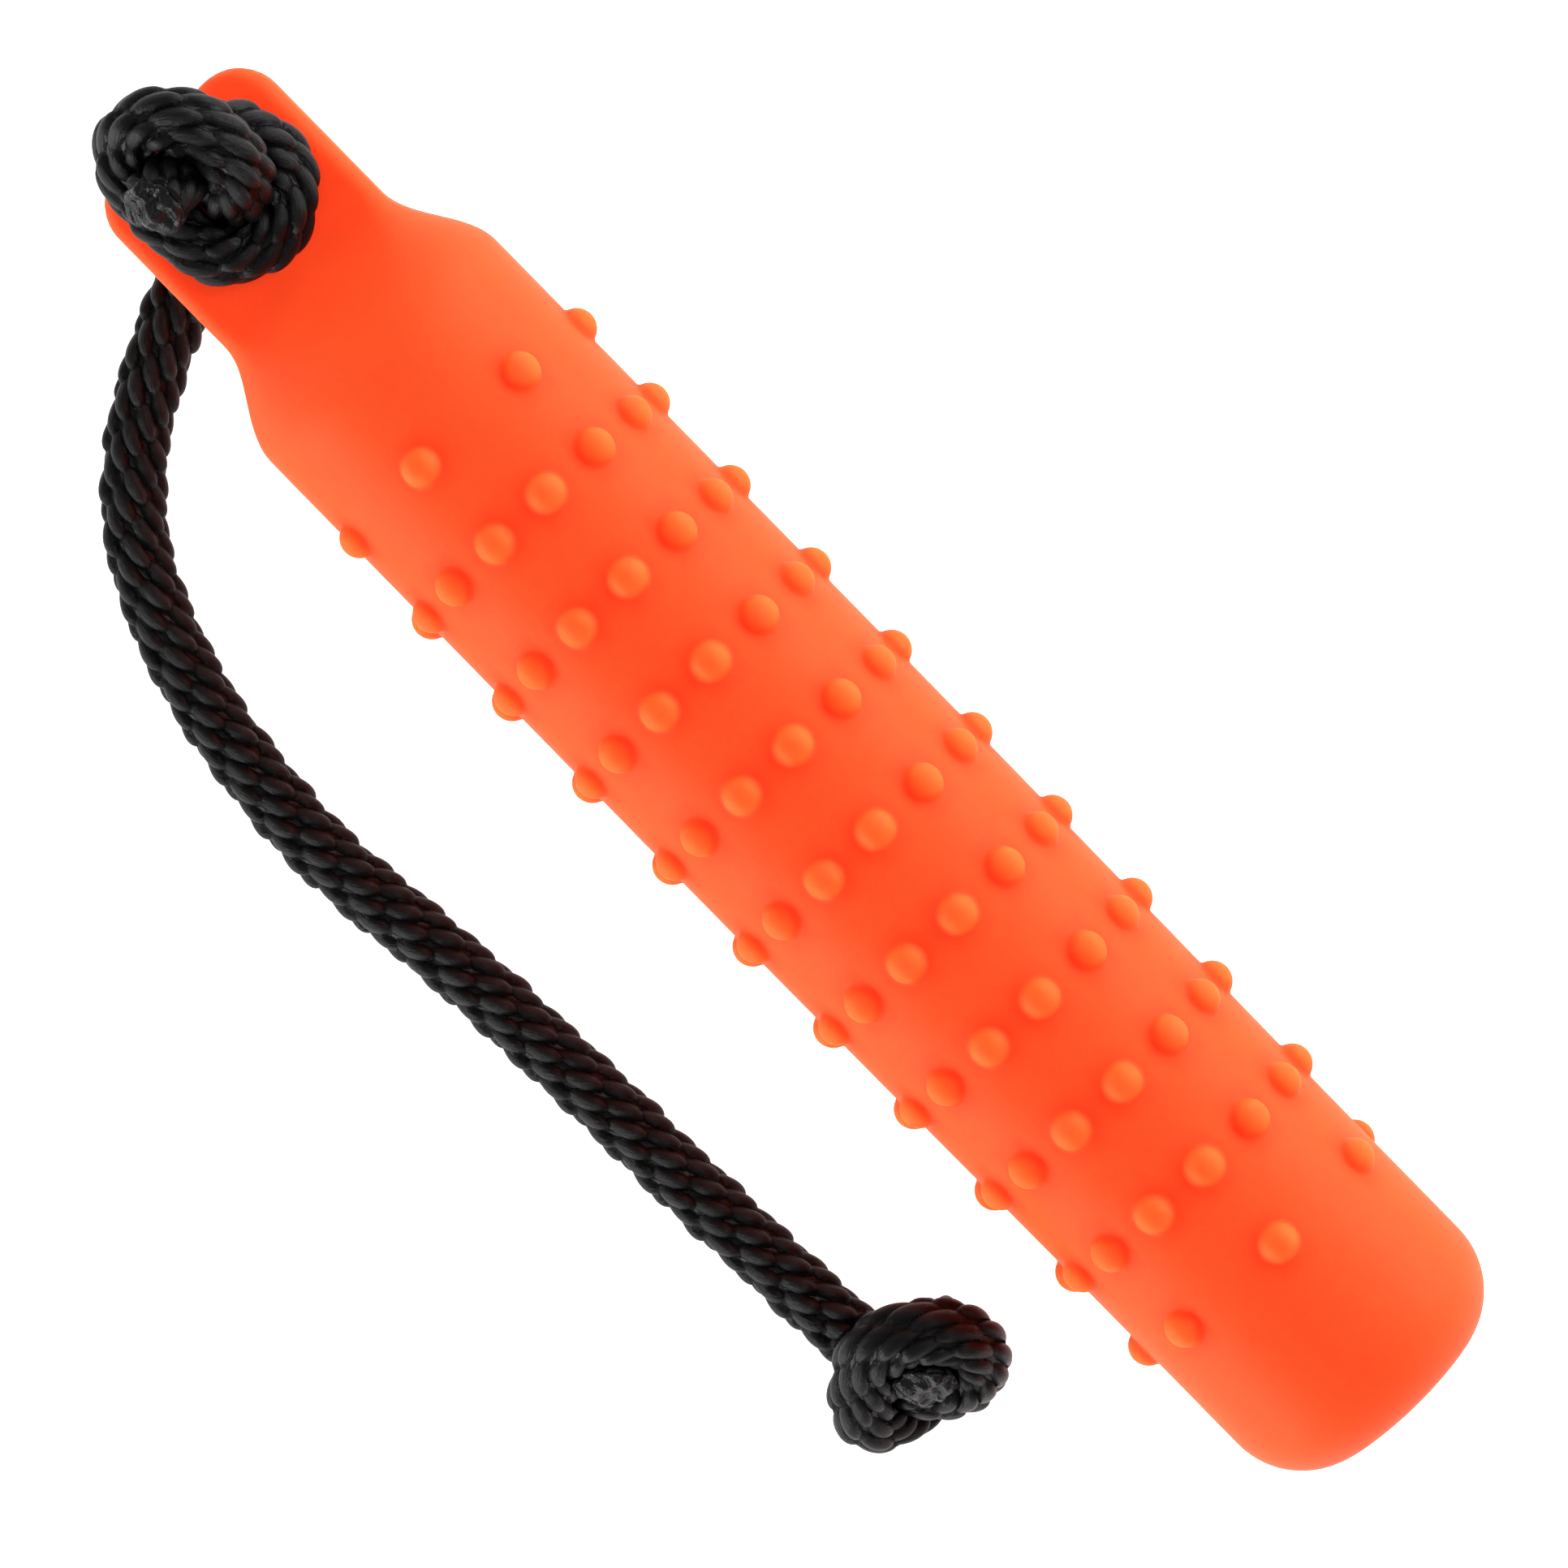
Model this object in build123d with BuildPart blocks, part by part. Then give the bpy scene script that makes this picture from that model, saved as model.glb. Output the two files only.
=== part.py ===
"""Dog training bumper: a hollow knobby vinyl body with a flat tab at one end,
and a braided throw rope that goes through the tab and is knotted at both ends.

Frame: +X runs along the body from the tab to the plain end, +Z is up, and the
origin is on the floor under the middle of the body.  All lengths are in mm.
"""
from build123d import *
from math import cos, pi, radians, sqrt, tan
import os

# ---- driving dimensions: the moulded body ----
LENGTH = 287.0              # tab end to plain end
BODY_R = 25.4               # round body, a 2 inch bumper
END_R = 24.8                # the plain end is drawn in a little
WALL = 3.0
TAB_HALF_W = 17.8
TAB_T = 7.0
TAB_LEN = 30.0              # straight tab, before the shoulder starts
SHOULDER_LEN = 27.0         # from the flat tab to the full round body
WIDEN_START = 2.5           # where the shoulder starts to widen
WIDEN_LEN = 18.0            # it is as wide as the body sooner than it is as high
NEARLY_ROUND = 0.997        # corner radius over half height where the section is a circle
SEAM_STEP = 0.12            # the shoulder ends this much inside the round body
SEAM_OVERLAP = 0.6          # and runs on this far into it
TAB_CORNER_R = 8.0
TAB_EDGE_R = 2.6
HOLE_FROM_END = 14.0
HOLE_R = 6.3                # the rope passes freely
CROWN_R = 68.0              # the plain end bulges slightly
END_CORNER_R = 14.0

# ---- driving dimensions: the nubs ----
NUB_H = 2.7
NUB_R = 3.25
ROWS = 14                   # rows of nubs around the body
INNER_RINGS = 9             # rings that hold a nub in every row
RING_PITCH = 18.44
FIRST_RING = 86.7           # from the tab end to the first full ring
END_RING_GAP = 16.7         # to the half-filled ring at each end

# ---- driving dimensions: the air valve ----
VALVE_R = 4.5
VALVE_LEN = 12.0
VALVE_FLANGE_R = 6.5
VALVE_FLANGE_T = 2.0
NEEDLE_R = 1.1
NEEDLE_DEPTH = 9.0
BOSS_R = 8.5

# ---- driving dimensions: the air space ----
NOSE_R = 13.0               # its rounded end in the shoulder

# ---- driving dimensions: the rope ----
ROPE_R = 5.6
GAP = 0.3                   # air between the line and the body it moves on

# ---- places that follow from them ----
row_step = 2 * pi / ROWS
nub_ball_r = (NUB_R**2 + NUB_H**2) / (2 * NUB_H)
nub_center_r = BODY_R + NUB_H - nub_ball_r
axis_z = nub_center_r * cos(row_step / 2) + nub_ball_r       # it rests on two rows of nubs
tab_end_x = -LENGTH / 2
plain_end_x = LENGTH / 2
shoulder_x = tab_end_x + TAB_LEN
body_x = shoulder_x + SHOULDER_LEN
hole_x = tab_end_x + HOLE_FROM_END
first_ring_x = tab_end_x + FIRST_RING
last_ring_x = first_ring_x + (INNER_RINGS - 1) * RING_PITCH
drawn_in_x = last_ring_x + END_RING_GAP + NUB_R + 1.0
crown_center_x = plain_end_x - CROWN_R
tab_top_z = axis_z + TAB_T / 2


def ease(u):
    """An S-curve from 0 to 1: flat at both ends, steepest in the middle."""
    return u * u * (3 - 2 * u)


def crown_point(off_axis, radius):
    """The point of the crowned end (or of the wall under it) at a distance from the axis."""
    return crown_center_x + sqrt(radius**2 - off_axis**2), axis_z + off_axis


def shoulder_section(u):
    """Half width, half height and corner radius a share u along the shoulder."""
    widened = (u * SHOULDER_LEN - WIDEN_START) / WIDEN_LEN
    half_w = TAB_HALF_W + (BODY_R - SEAM_STEP - TAB_HALF_W) * ease(min(1.0, max(0.0, widened)))
    half_h = TAB_T / 2 + (BODY_R - SEAM_STEP - TAB_T / 2) * ease(u)
    tab_roundness = TAB_EDGE_R / (TAB_T / 2)
    roundness = tab_roundness + (NEARLY_ROUND - tab_roundness) * min(1.0, 1.6 * u)
    return half_w, half_h, half_h * roundness


# ---- the body: one hollow moulding ----
with BuildPart() as body_shell:
    # the flat tab, with its edges rounded
    with BuildSketch(Plane.XY.offset(axis_z - TAB_T / 2)):
        with Locations((shoulder_x, 0)):
            RectangleRounded(2 * TAB_LEN, 2 * TAB_HALF_W, TAB_CORNER_R)
    extrude(amount=TAB_T)
    by_height = body_shell.edges().group_by(Axis.Z)
    fillet(by_height[0] + by_height[-1], TAB_EDGE_R)
    split(bisect_by=Plane.YZ.offset(shoulder_x), keep=Keep.BOTTOM)
    # the shoulder, from the tab's section to the round one
    for share in (0.0, 0.15, 0.3, 0.5, 0.7, 0.85, 1.0):
        half_w, half_h, corner = shoulder_section(share)
        at_x = shoulder_x + share * SHOULDER_LEN + (SEAM_OVERLAP if share == 1.0 else 0.0)
        with BuildSketch(Plane((at_x, 0, axis_z), x_dir=(0, 1, 0), z_dir=(1, 0, 0))):
            RectangleRounded(2 * half_w, 2 * half_h, corner)
    loft()
    # the round body and the crowned plain end
    with BuildSketch(Plane.XZ) as outline:
        with BuildLine():
            wall_end_x = crown_center_x + sqrt(CROWN_R**2 - END_R**2)
            Polyline((plain_end_x, axis_z), (body_x, axis_z), (body_x, axis_z + BODY_R),
                     (drawn_in_x, axis_z + BODY_R), (drawn_in_x + 3, axis_z + END_R),
                     (wall_end_x, axis_z + END_R))
            ThreePointArc((wall_end_x, axis_z + END_R), crown_point(END_R / 2, CROWN_R), (plain_end_x, axis_z))
        make_face()
        fillet(outline.vertices().sort_by_distance((wall_end_x, axis_z + END_R))[0], END_CORNER_R)
    revolve(axis=Axis((0, 0, axis_z), (1, 0, 0)))
    # the nubs: every row in the full rings, every second row in the end rings
    for ring in range(-1, INNER_RINGS + 1):
        if ring == -1:
            ring_x, start, count = first_ring_x - END_RING_GAP, -1, ROWS // 2
        elif ring == INNER_RINGS:
            ring_x, start, count = last_ring_x + END_RING_GAP, 0, ROWS // 2
        else:
            ring_x, start, count = first_ring_x + ring * RING_PITCH, 0, ROWS
        first_angle = 90 - 360 / ROWS * (0.5 + start)
        around = Plane((ring_x, 0, axis_z), x_dir=(0, 1, 0), z_dir=(1, 0, 0))
        with Locations(around):
            with PolarLocations(nub_center_r, count, start_angle=first_angle):
                Sphere(nub_ball_r)
    # the hole that the rope goes through, with rounded rims
    with Locations((hole_x, 0, axis_z)):
        Cylinder(HOLE_R, TAB_T, mode=Mode.SUBTRACT)
    rims = body_shell.edges().filter_by(GeomType.CIRCLE).sort_by_distance((hole_x, 0, axis_z))[:2]
    fillet(rims, 1.0)
    # the air space, with a nose in the shoulder
    with BuildSketch(Plane.XZ) as hollow:
        with BuildLine():
            inner_r = BODY_R - WALL
            inner_end_x = crown_center_x + sqrt((CROWN_R - WALL)**2 - (END_R - WALL)**2)
            nose_x = body_x - 10
            Polyline((plain_end_x - WALL, axis_z), (nose_x, axis_z), (nose_x, axis_z + inner_r),
                     (drawn_in_x - 1, axis_z + inner_r), (drawn_in_x + 2, axis_z + END_R - WALL),
                     (inner_end_x, axis_z + END_R - WALL))
            ThreePointArc((inner_end_x, axis_z + END_R - WALL),
                          crown_point((END_R - WALL) / 2, CROWN_R - WALL), (plain_end_x - WALL, axis_z))
        make_face()
        fillet(hollow.vertices().sort_by_distance((inner_end_x, axis_z + END_R - WALL))[0],
               END_CORNER_R - WALL)
        fillet(hollow.vertices().sort_by_distance((nose_x, axis_z + inner_r))[0], NOSE_R)
    revolve(axis=Axis((0, 0, axis_z), (1, 0, 0)), mode=Mode.SUBTRACT)
    # the boss that holds the valve, and its bore
    with BuildSketch(Plane.YZ.offset(plain_end_x - VALVE_LEN)):
        with Locations((0, axis_z)):
            Circle(BOSS_R)
            Circle(VALVE_R, mode=Mode.SUBTRACT)
    extrude(amount=VALVE_LEN - WALL + 0.5)
    with BuildSketch(Plane.YZ.offset(plain_end_x - VALVE_LEN)):
        with Locations((0, axis_z)):
            Circle(VALVE_R)
    extrude(amount=VALVE_LEN + 1, mode=Mode.SUBTRACT)
body_shell.part.label = "body_shell"

# ---- the air valve: a rubber plug with a blind needle hole ----
valve_face_x = crown_center_x + sqrt(CROWN_R**2 - VALVE_R**2)
valve_back_x = plain_end_x - VALVE_LEN
with BuildPart() as air_valve:
    with BuildSketch(Plane.YZ.offset(valve_back_x - VALVE_FLANGE_T)):
        with Locations((0, axis_z)):
            Circle(VALVE_FLANGE_R)
    extrude(amount=VALVE_FLANGE_T)
    with BuildSketch(Plane.YZ.offset(valve_back_x)):
        with Locations((0, axis_z)):
            Circle(VALVE_R)
    extrude(amount=valve_face_x - valve_back_x)
    chamfer(air_valve.edges().group_by(Axis.X)[-1], 0.4)
    with BuildSketch(Plane.YZ.offset(valve_face_x)):
        with Locations((0, axis_z)):
            Circle(NEEDLE_R)
    extrude(amount=-NEEDLE_DEPTH, mode=Mode.SUBTRACT)
air_valve.part.label = "air_valve"

# ---- the route of the rope: down through the tab, then along the floor ----
rope_top_z = tab_top_z + GAP
bend_z = (rope_top_z + 2**0.5 * ROPE_R) / (1 + 2**0.5) + 0.1
slope = bend_z - ROPE_R                              # the rope drops at 45 degrees here
route = [
    (hole_x, 0, rope_top_z),
    (hole_x, 0, bend_z),
    (hole_x + 0.12 * slope, -0.993 * slope, ROPE_R),
    (-122.0, -27.0, ROPE_R),
    (-113.4, -42.9, ROPE_R),
    (-100.6, -55.4, ROPE_R),
    (-83.6, -63.0, ROPE_R),
    (-62.1, -67.5, ROPE_R),
    (-40.0, -68.5, ROPE_R),
    (-18.0, -65.6, ROPE_R),
    (15.5, -63.8, ROPE_R),
    (45.0, -63.3, ROPE_R),
    (74.0, -61.6, ROPE_R),
]


def arc_radii(points):
    """Radius at each corner: 0.45 of the shorter run over the tangent of half the turn."""
    spots = [Vector(*p) for p in points]
    radii = []
    for before, here, after in zip(spots, spots[1:], spots[2:]):
        turn = (here - before).get_angle(after - here)
        shorter = min((here - before).length, (after - here).length)
        radii.append(0.45 * shorter / tan(radians(turn) / 2))
        print(f"rope corner at {here.X:7.1f} {here.Y:6.1f} {here.Z:5.1f}: turn {turn:5.1f} deg, "
              f"run {shorter:5.1f}, radius {radii[-1]:7.1f}")
    return radii


with BuildPart() as throw_rope:
    with BuildLine() as rope_line:
        FilletPolyline(*route, radius=arc_radii(route))
    with BuildSketch(Plane(route[0], x_dir=(1, 0, 0), z_dir=(0, 0, -1))):
        Circle(ROPE_R)
    sweep(path=rope_line.wires()[0])
throw_rope.part.label = "throw_rope"
rope_length = rope_line.wires()[0].length
print(f"rope between the knots {rope_length:.1f} mm, tube volume {throw_rope.part.volume:.0f}, "
      f"section x length {pi * ROPE_R**2 * rope_length:.0f}")

# ---- the stopper knot, on top of the tab ----
TAB_KNOT_SIZE = (35.0, 29.5, 22.0)
TAB_KNOT_AT = (hole_x - 1.1, 1.3)
TAB_TAIL_AT = (hole_x - 3.2, -6.2)
TAIL_UP = 2.5
SEAL_T = 2.5
with BuildPart() as tab_knot:
    with BuildSketch(Plane.XY.offset(rope_top_z)):
        with Locations(TAB_KNOT_AT):
            Ellipse(TAB_KNOT_SIZE[0] / 2, TAB_KNOT_SIZE[1] / 2)
    extrude(amount=TAB_KNOT_SIZE[2])
    fillet(tab_knot.edges().group_by(Axis.Z)[0], 5.0)
    fillet(tab_knot.edges().group_by(Axis.Z)[-1], 9.0)
    with BuildSketch(Plane.XY.offset(rope_top_z + TAB_KNOT_SIZE[2] / 2)):
        with Locations(TAB_TAIL_AT):
            Circle(ROPE_R)
    extrude(amount=TAB_KNOT_SIZE[2] / 2 + TAIL_UP)
tab_knot.part.label = "tab_knot"

with BuildPart() as tab_end_seal:
    with BuildSketch(Plane.XY.offset(rope_top_z + TAB_KNOT_SIZE[2] + TAIL_UP)):
        with Locations(TAB_TAIL_AT):
            Circle(ROPE_R)
    extrude(amount=SEAL_T)
    fillet(tab_end_seal.edges().group_by(Axis.Z)[-1], 1.5)
tab_end_seal.part.label = "tab_end_seal"

# ---- the hand knot, on the floor at the far end ----
HAND_KNOT_SIZE = (24.0, 31.0, 26.0)
HAND_KNOT_AT = (route[-1][0] + HAND_KNOT_SIZE[0] / 2 - 0.5, -57.0)
HAND_TAIL_AT = (HAND_KNOT_AT[0] + 1.5, HAND_KNOT_AT[1] - 0.5)
with BuildPart() as hand_knot:
    with BuildSketch(Plane.XY):
        with Locations(HAND_KNOT_AT):
            Ellipse(HAND_KNOT_SIZE[0] / 2, HAND_KNOT_SIZE[1] / 2)
    extrude(amount=HAND_KNOT_SIZE[2])
    fillet(hand_knot.edges().group_by(Axis.Z)[0], 4.0)
    fillet(hand_knot.edges().group_by(Axis.Z)[-1], 8.0)
    with BuildSketch(Plane.XY.offset(HAND_KNOT_SIZE[2] / 2)):
        with Locations(HAND_TAIL_AT):
            Circle(ROPE_R)
    extrude(amount=HAND_KNOT_SIZE[2] / 2 + TAIL_UP)
hand_knot.part.label = "hand_knot"

with BuildPart() as hand_end_seal:
    with BuildSketch(Plane.XY.offset(HAND_KNOT_SIZE[2] + TAIL_UP)):
        with Locations(HAND_TAIL_AT):
            Circle(ROPE_R)
    extrude(amount=SEAL_T)
    fillet(hand_end_seal.edges().group_by(Axis.Z)[-1], 1.5)
hand_end_seal.part.label = "hand_end_seal"

# ---- one STEP file per piece ----
os.makedirs("parts", exist_ok=True)
for piece in (body_shell, air_valve, throw_rope, tab_knot, hand_knot, tab_end_seal, hand_end_seal):
    export_step(piece.part, f"parts/{piece.part.label}.step")
    box = piece.part.bounding_box()
    print(f"{piece.part.label:14s} {piece.part.volume:9.0f} mm3  "
          f"x {box.min.X:7.1f} {box.max.X:6.1f}  y {box.min.Y:6.1f} {box.max.Y:6.1f}  "
          f"z {box.min.Z:6.2f} {box.max.Z:6.2f}  solids {len(piece.part.solids())}")
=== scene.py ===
# %% [markdown]
# # A knobby training bumper
#
# A retrieving bumper is what a gun dog learns to fetch with: a hollow float of soft orange vinyl,
# covered in small nubs for the dog's mouth, and a short braided rope for the trainer's hand.
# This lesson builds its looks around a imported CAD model. The CAD model says where everything is,
# and the pieces here are surfaces worked out with numpy, in metres, in the same frame:
# +X runs along the body from the tab to the plain end, +Z is up, and the floor is at Z = 0.

# %% Load the frame
import math

import bmesh
import bpy
import numpy as np
from mathutils import Matrix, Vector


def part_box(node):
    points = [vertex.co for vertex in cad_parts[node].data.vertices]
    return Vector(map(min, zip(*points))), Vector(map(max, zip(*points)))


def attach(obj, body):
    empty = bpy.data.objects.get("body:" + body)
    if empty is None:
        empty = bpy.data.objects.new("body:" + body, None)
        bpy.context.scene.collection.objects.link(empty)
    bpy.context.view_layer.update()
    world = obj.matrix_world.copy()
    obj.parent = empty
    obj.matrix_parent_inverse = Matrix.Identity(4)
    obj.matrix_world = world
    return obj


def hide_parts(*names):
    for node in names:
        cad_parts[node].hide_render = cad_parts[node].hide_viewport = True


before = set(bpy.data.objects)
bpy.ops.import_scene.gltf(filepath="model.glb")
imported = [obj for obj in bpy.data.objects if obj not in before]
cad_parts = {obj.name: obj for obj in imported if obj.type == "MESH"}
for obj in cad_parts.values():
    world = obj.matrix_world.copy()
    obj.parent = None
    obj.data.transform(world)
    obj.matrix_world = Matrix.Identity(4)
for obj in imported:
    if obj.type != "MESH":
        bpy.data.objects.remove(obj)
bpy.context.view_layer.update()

MM = 0.001
TINY = 1e-9  # keeps a division away from zero
shell_low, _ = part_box("body_shell")
valve_low, valve_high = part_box("air_valve")
tab_end_x = shell_low.x
axis_z = (valve_low.z + valve_high.z) / 2

# %% [markdown]
# ## The camera
#
# The bumper is seen from almost straight above, with the body lying along the picture's diagonal.
# The camera leans a few degrees towards +Y, so that it looks slightly under the row of nubs there.
# A long lens keeps the perspective gentle, as product pictures have it. The camera's three axes
# are written out as vectors, because they say more plainly than angles what lies along what.

# %% Things with their own axes
def stand(name, data, right, up, back, place):
    """A new object in the scene, with its three axes and its place as the columns of its matrix."""
    matrix = np.eye(4)
    matrix[:3] = np.column_stack([right, up, back, place])
    thing = bpy.data.objects.new(name, data)
    thing.matrix_world = Matrix(matrix.tolist())
    bpy.context.collection.objects.link(thing)
    return thing


# %% Camera
CAMERA_TILT = math.radians(7.2)
BODY_RIGHT, BODY_DOWN = 0.6997, 0.7144  # where +X points in the picture
LENS, SENSOR = 150.0, 36.0
FRAME_WIDTH = 0.2517  # how much the picture shows, at the body's axis
LOOK_AT = (1.8 * MM, -2.7 * MM)


def aim_camera():
    """Makes the camera, which stands off from its target along its back axis."""
    along = np.array([1.0, 0.0, 0.0])
    across = np.array([0.0, math.cos(CAMERA_TILT), -math.sin(CAMERA_TILT)])
    right = BODY_RIGHT * along + BODY_DOWN * across
    up = -BODY_DOWN * along + BODY_RIGHT * across
    back = np.cross(right, up)
    target = np.array([0.0, 0.0, axis_z]) + LOOK_AT[0] * along + LOOK_AT[1] * across
    place = target + back * FRAME_WIDTH * LENS / SENSOR
    camera = stand("camera", bpy.data.cameras.new("camera"), right, up, back, place)
    camera.data.lens, camera.data.sensor_width = LENS, SENSOR
    camera.data.clip_start, camera.data.clip_end = 0.01, 20.0
    bpy.context.scene.camera = camera


aim_camera()

# %% [markdown]
# ## Meshes from arrays
#
# Each piece below is one or more grids of points. A grid becomes faces by joining each point to the
# next in its row and in its column. Rows run along the piece and columns run round it, and when
# they turn the same way as the outline does, every face points outwards. The points of an outline
# can also be turned about the body's axis, as on a lathe, and a tube is closed by a fan at each end.

# %% Helpers that turn grids into meshes
def grid_faces(rows, columns, closed=True, first=0):
    """Quads of a grid: (row, column), (row+1, column), (row+1, column+1), (row, column+1)."""
    row = np.arange(rows - 1)[:, None]
    column = np.arange(columns if closed else columns - 1)[None, :]
    after = (column + 1) % columns
    quads = np.stack([row * columns + column, (row + 1) * columns + column,
                      (row + 1) * columns + after, row * columns + after], -1)
    return quads.reshape(-1, 4) + first


def fan_faces(ring, centre, forward=True):
    """Triangles from a ring of point numbers to one centre point, with their corners in the ring's
    order or against it."""
    after = np.roll(ring, -1)
    first, second = (ring, after) if forward else (after, ring)
    return np.stack([np.full_like(ring, centre), first, second], -1)


def circle_of(count):
    """The angles of count points, evenly round a circle."""
    return 2 * np.pi * np.arange(count) / count


def revolved(outline, count):
    """An outline (x, distance from the axis) as rings of count points about the body's axis."""
    around = circle_of(count)
    x, reach = outline[:, :1], outline[:, 1:]
    return np.stack([x + 0 * around, reach * np.sin(around), axis_z + reach * np.cos(around)], -1)


class Shape:
    """A growing list of points and faces."""

    def __init__(self):
        self.points, self.faces, self.count = [], [], 0

    def add(self, points, *face_sets):
        """Adds points, and faces that count from the first of them."""
        points = np.asarray(points, float).reshape(-1, 3)
        self.points.append(points)
        self.faces += [faces + self.count for faces in face_sets]
        self.count += len(points)

    def mesh(self, name, weld=0.0):
        """The mesh, with points closer than weld joined."""
        flat = [row for faces in self.faces for row in faces.tolist()]
        made = bpy.data.meshes.new(name)
        made.from_pydata(np.vstack(self.points).tolist(), [], flat)
        if weld:
            work = bmesh.new()
            work.from_mesh(made)
            bmesh.ops.remove_doubles(work, verts=work.verts, dist=weld)
            work.to_mesh(made)
            work.free()
        made.polygons.foreach_set("use_smooth", np.ones(len(made.polygons), bool))
        made.update()
        return made


def capped_tube(rings, ends, forward=True):
    """A closed shape: rings of points in a row, and a fan from the first and the last to an end point."""
    count, around = rings.shape[:2]
    quads = grid_faces(count, around)
    shape = Shape()
    shape.add(np.vstack([rings.reshape(-1, 3), ends]), quads if forward else quads[:, ::-1],
              fan_faces(np.arange(around), count * around, forward),
              fan_faces(np.arange((count - 1) * around, count * around), count * around + 1, not forward))
    return shape


def numbers_of(items, name, kind=int, each=1):
    """A named value of every item in a mesh's list, as one array."""
    values = np.empty(len(items) * each, kind)
    items.foreach_get(name, values)
    return values


def points_of(mesh):
    """The mesh's points as one array."""
    return numbers_of(mesh.vertices, "co", float, 3).reshape(-1, 3)


def put(mesh):
    """The mesh as a piece in the scene, at the origin."""
    piece = bpy.data.objects.new(mesh.name, mesh)
    bpy.context.collection.objects.link(piece)
    triangles = len(mesh.loops) - 2 * len(mesh.polygons)
    print(f"{mesh.name}: {len(mesh.vertices)} points, {triangles} triangles, "
          f"open edges {np.sum(edge_uses(mesh) != 2)}, edges between turned faces {same_way_edges(mesh)}")
    return piece


def edge_uses(mesh):
    """How many faces use each edge; 2 everywhere on a closed mesh."""
    return np.bincount(numbers_of(mesh.loops, "edge_index"), minlength=len(mesh.edges))


def same_way_edges(mesh):
    """How many edges two faces walk along in the same direction; 0 when no face is turned over."""
    corners, starts = numbers_of(mesh.loops, "vertex_index"), numbers_of(mesh.polygons, "loop_start")
    following = np.arange(len(corners)) + 1
    following[np.r_[starts[1:], len(corners)] - 1] = starts
    walks = corners * len(mesh.vertices) + corners[following]
    return len(walks) - len(np.unique(walks))


def give_values(mesh, name, values):
    """One number for each point, which a material can read by name."""
    layer = mesh.attributes.new(name, "FLOAT", "POINT")
    layer.data.foreach_set("value", np.asarray(values, np.float32))


def ease(u):
    """An S-curve from 0 to 1: u squared times (3 - 2u), held flat outside 0 to 1."""
    u = np.clip(u, 0.0, 1.0)
    return u * u * (3 - 2 * u)


# %% [markdown]
# ## The moulded body
#
# The real body comes out of one mould: tab, shoulder, nubs and end are a single skin of vinyl, about
# 3 mm thick, round an air space. A displacement map could raise the nubs, but a dome a few
# millimetres across needs its own ring of points to look round. So the round part is a patchwork:
# each nub sits in a small rectangle of skin, and all the rectangles share their border points.

# %% Sizes of the body
COLUMNS = 112  # points round every section
ROWS = 14  # rows of nubs
QUARTER, HALF = COLUMNS // 4, COLUMNS // 2
BODY_R, END_R, WALL = 25.4 * MM, 24.8 * MM, 3.0 * MM
TAB_HALF_W, TAB_HALF_T, TAB_LEN = 17.8 * MM, 3.5 * MM, 30.0 * MM
TAB_CORNER_R, TAB_EDGE_R = 8.0 * MM, 2.6 * MM
SHOULDER_LEN, WIDEN_START, WIDEN_LEN = 27.0 * MM, 2.5 * MM, 18.0 * MM
HOLE_R, HOLE_RIM = 6.3 * MM, 1.2 * MM
CROWN_R, END_CORNER_R = 68.0 * MM, 14.0 * MM
LENGTH = 287.0 * MM
NUB_H, NUB_R, NUB_ROOT = 2.7 * MM, 3.25 * MM, 0.9 * MM
RING_PITCH, END_RING_GAP, FIRST_RING, INNER_RINGS = 18.44 * MM, 16.7 * MM, 86.7 * MM, 9
VALVE_R, BOSS_R, VALVE_LEN = 4.5 * MM, 8.5 * MM, 12.0 * MM

plain_end_x = tab_end_x + LENGTH
hole_x = tab_end_x + 14.0 * MM
shoulder_x = tab_end_x + TAB_LEN
body_x = shoulder_x + SHOULDER_LEN
inner_ring_x = tab_end_x + FIRST_RING + RING_PITCH * np.arange(INNER_RINGS)
ring_x = np.r_[inner_ring_x[0] - END_RING_GAP, inner_ring_x, inner_ring_x[-1] + END_RING_GAP]
halfway_x = (ring_x[1:] + ring_x[:-1]) / 2
cell_edge_x = np.r_[ring_x[0] - END_RING_GAP / 2, halfway_x, ring_x[-1] + END_RING_GAP / 2]
row_step = 2 * np.pi / ROWS


def body_radius(x):
    """The round skin's radius: full up to the middle, then drawn in gently towards the plain end."""
    return BODY_R - (BODY_R - END_R) * ease(x / cell_edge_x[-1])


def on_body(x, around, height):
    """A point at height over the skin: x along, around from +Z towards +Y."""
    reach = body_radius(x) + height
    return np.stack([x + 0 * reach, reach * np.sin(around), axis_z + reach * np.cos(around)], -1)


def has_nub(ring, row):
    """The two end rings hold a nub in every second row only."""
    if ring == 0:
        return row % 2 == 1
    if ring == len(ring_x) - 1:
        return row % 2 == 0
    return True


# %% [markdown]
# A nub is a ball cap that flows into the skin through a small hollow curve. Seen from its own axis
# it is a set of circles, and the last circles stretch out to the rectangle's border.

# %% One nub in its rectangle of skin
ALONG, ACROSS = 12, COLUMNS // ROWS  # border points of a rectangle, along x and round the body
CAP_STEPS, ROOT_STEPS, SKIN_STEPS = 7, 3, 2
ball_r = (NUB_R**2 + NUB_H**2) / (2 * NUB_H)
ball_depth = ball_r - NUB_H


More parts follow.
